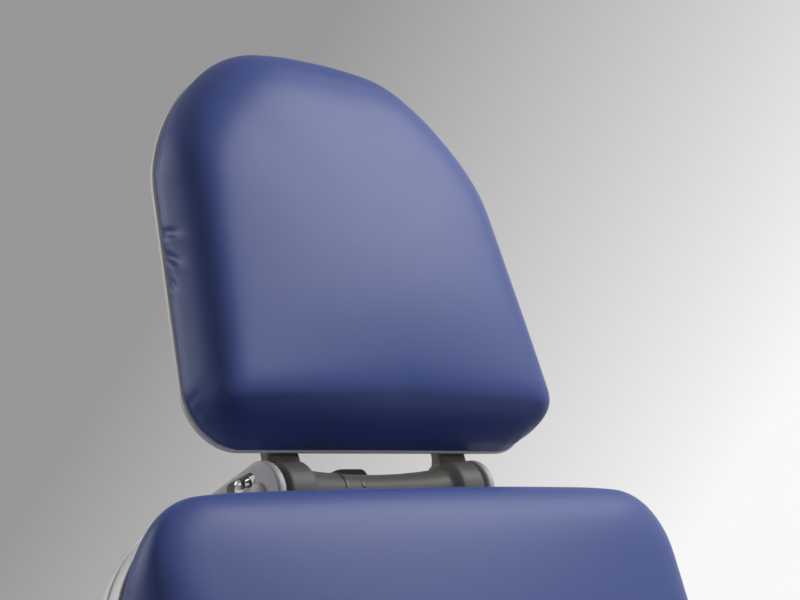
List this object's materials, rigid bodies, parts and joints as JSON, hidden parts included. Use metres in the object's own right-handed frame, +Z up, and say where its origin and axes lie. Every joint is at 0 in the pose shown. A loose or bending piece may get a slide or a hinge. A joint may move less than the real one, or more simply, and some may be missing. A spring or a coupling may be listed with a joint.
{
  "type": "procedure chair",
  "caption": "Powered procedure chair with blue vinyl cushions, hinged headrest on a sliding mast, reclining backrest, legrest, swing-up armrests and telescopic lift column.",
  "frame": {"origin": "centre of the footprint of the whole chair, on the floor", "axes": "+Z up, the chair faces -Y, +X to the patient's left"},
  "size_m": [0.71, 1.0296, 1.4222],
  "materials": {
    "blue_vinyl": "smooth blue vinyl over foam",
    "white_moulding": "white moulded plastic",
    "pale_board": "pale grey moulded board",
    "grey_casting": "grey powder-coated casting",
    "grey_enamel": "grey enamel",
    "dark_enamel": "dark grey enamel",
    "zinc_steel": "zinc plated steel",
    "chrome": "chrome plate",
    "black_moulding": "black moulded plastic",
    "black_rubber": "black rubber",
    "plywood": "plywood"
  },
  "bodies": {
    "base": {"base_plate": "dark_enamel", "base_cover": "white_moulding", "levelling_foot_front_left": "black_rubber", "levelling_foot_front_right": "black_rubber", "levelling_foot_rear_left": "black_rubber", "levelling_foot_rear_right": "black_rubber", "column_outer": "white_moulding", "outer_glide": "black_moulding", "lift_actuator": "black_moulding", "control_box": "black_moulding", "power_inlet": "black_moulding", "pedal_housing": "black_moulding"},
    "lift_pedal": {"lift_pedal": "grey_enamel"},
    "back_pedal": {"back_pedal": "grey_enamel"},
    "middle_stage": {"column_middle": "zinc_steel", "middle_glide": "black_moulding", "lift_tube": "zinc_steel"},
    "seat": {"column_inner": "zinc_steel", "column_head": "dark_enamel", "lift_rod": "chrome", "side_plate_left": "dark_enamel", "side_plate_right": "dark_enamel", "seat_skirt_left": "white_moulding", "seat_skirt_right": "white_moulding", "back_bush_left": "black_moulding", "back_bush_right": "black_moulding", "leg_bush_left": "black_moulding", "leg_bush_right": "black_moulding", "seat_board": "plywood", "seat_pad": "blue_vinyl", "twin_drive": "black_moulding", "arm_bracket_left": "grey_enamel", "arm_bracket_right": "grey_enamel"},
    "back_push": {"back_slider": "zinc_steel"},
    "leg_push": {"leg_slider": "zinc_steel"},
    "backrest": {"back_shaft": "dark_enamel", "back_tube_left": "dark_enamel", "back_tube_right": "dark_enamel", "back_cross_bar": "dark_enamel", "back_board": "plywood", "back_pad": "blue_vinyl", "back_shell": "white_moulding", "mast_guide": "black_moulding"},
    "mast": {"headrest_mast": "chrome", "mast_head": "grey_casting", "lock_block": "grey_casting", "hinge_axle": "grey_casting"},
    "release": {"release_pin": "chrome"},
    "headrest": {"headrest_yoke": "grey_casting", "headrest_board": "pale_board", "headrest_pad": "blue_vinyl"},
    "legrest": {"leg_shaft": "dark_enamel", "leg_arm_left": "dark_enamel", "leg_arm_right": "dark_enamel", "leg_board": "plywood", "leg_pad": "blue_vinyl"},
    "armrest_left": {"arm_support_left": "grey_enamel", "arm_pad_left": "blue_vinyl"},
    "armrest_right": {"arm_support_right": "grey_enamel", "arm_pad_right": "blue_vinyl"}
  },
  "joints": [
    {"name": "lift_lower", "type": "slide", "parent": "base", "child": "middle_stage", "axis": [0, 0, 1], "range_m": [0, 0.17]},
    {"name": "lift_upper", "type": "slide", "parent": "middle_stage", "child": "seat", "axis": [0, 0, 1], "range_m": [0, 0.17]},
    {"name": "backrest_recline", "type": "hinge", "parent": "seat", "child": "backrest", "pos_m": [0, 0.18655, 0.475], "axis": [-1, 0, 0], "range_deg": [-10.9, 70.8]},
    {"name": "back_push_slide", "type": "slide", "parent": "seat", "child": "back_push", "axis": [0, -1, 0], "range_m": [-0.0155, 0.0985]},
    {"name": "legrest_lift", "type": "hinge", "parent": "seat", "child": "legrest", "pos_m": [0, -0.31845, 0.42], "axis": [-1, 0, 0], "range_deg": [0, 78]},
    {"name": "leg_push_slide", "type": "slide", "parent": "seat", "child": "leg_push", "axis": [0, -1, 0], "range_m": [0, 0.0835]},
    {"name": "headrest_height", "type": "slide", "parent": "backrest", "child": "mast", "axis": [0, 0.3288, 0.9444], "range_m": [0, 0.12]},
    {"name": "headrest_tilt", "type": "hinge", "parent": "mast", "child": "headrest", "pos_m": [0, 0.41313, 1.09391], "axis": [1, 0, 0], "range_deg": [-35, 25]},
    {"name": "headrest_release", "type": "slide", "parent": "mast", "child": "release", "axis": [0, 0.9444, -0.3288], "range_m": [-0.0105, 0.0105], "stiffness_N_per_m": 600},
    {"name": "arm_swing_left", "type": "hinge", "parent": "seat", "child": "armrest_left", "pos_m": [0.306, 0.01655, 0.66], "axis": [-1, 0, 0], "range_deg": [0, 95]},
    {"name": "arm_swing_right", "type": "hinge", "parent": "seat", "child": "armrest_right", "pos_m": [-0.306, 0.01655, 0.66], "axis": [-1, 0, 0], "range_deg": [0, 95]},
    {"name": "lift_pedal_rock", "type": "hinge", "parent": "base", "child": "lift_pedal", "pos_m": [-0.065, 0.33685, 0.05], "axis": [1, 0, 0], "range_deg": [-6, 6], "stiffness_Nm_per_rad": 4},
    {"name": "back_pedal_rock", "type": "hinge", "parent": "base", "child": "back_pedal", "pos_m": [0.065, 0.33685, 0.05], "axis": [1, 0, 0], "range_deg": [-6, 6], "stiffness_Nm_per_rad": 4}
  ],
  "couplings": [
    {"joint": "lift_upper", "follows": "lift_lower", "ratio": 1},
    {"joint": "back_push_slide", "follows": "backrest_recline", "m_per_rad": 0.07905},
    {"joint": "leg_push_slide", "follows": "legrest_lift", "m_per_rad": 0.0608}
  ]
}
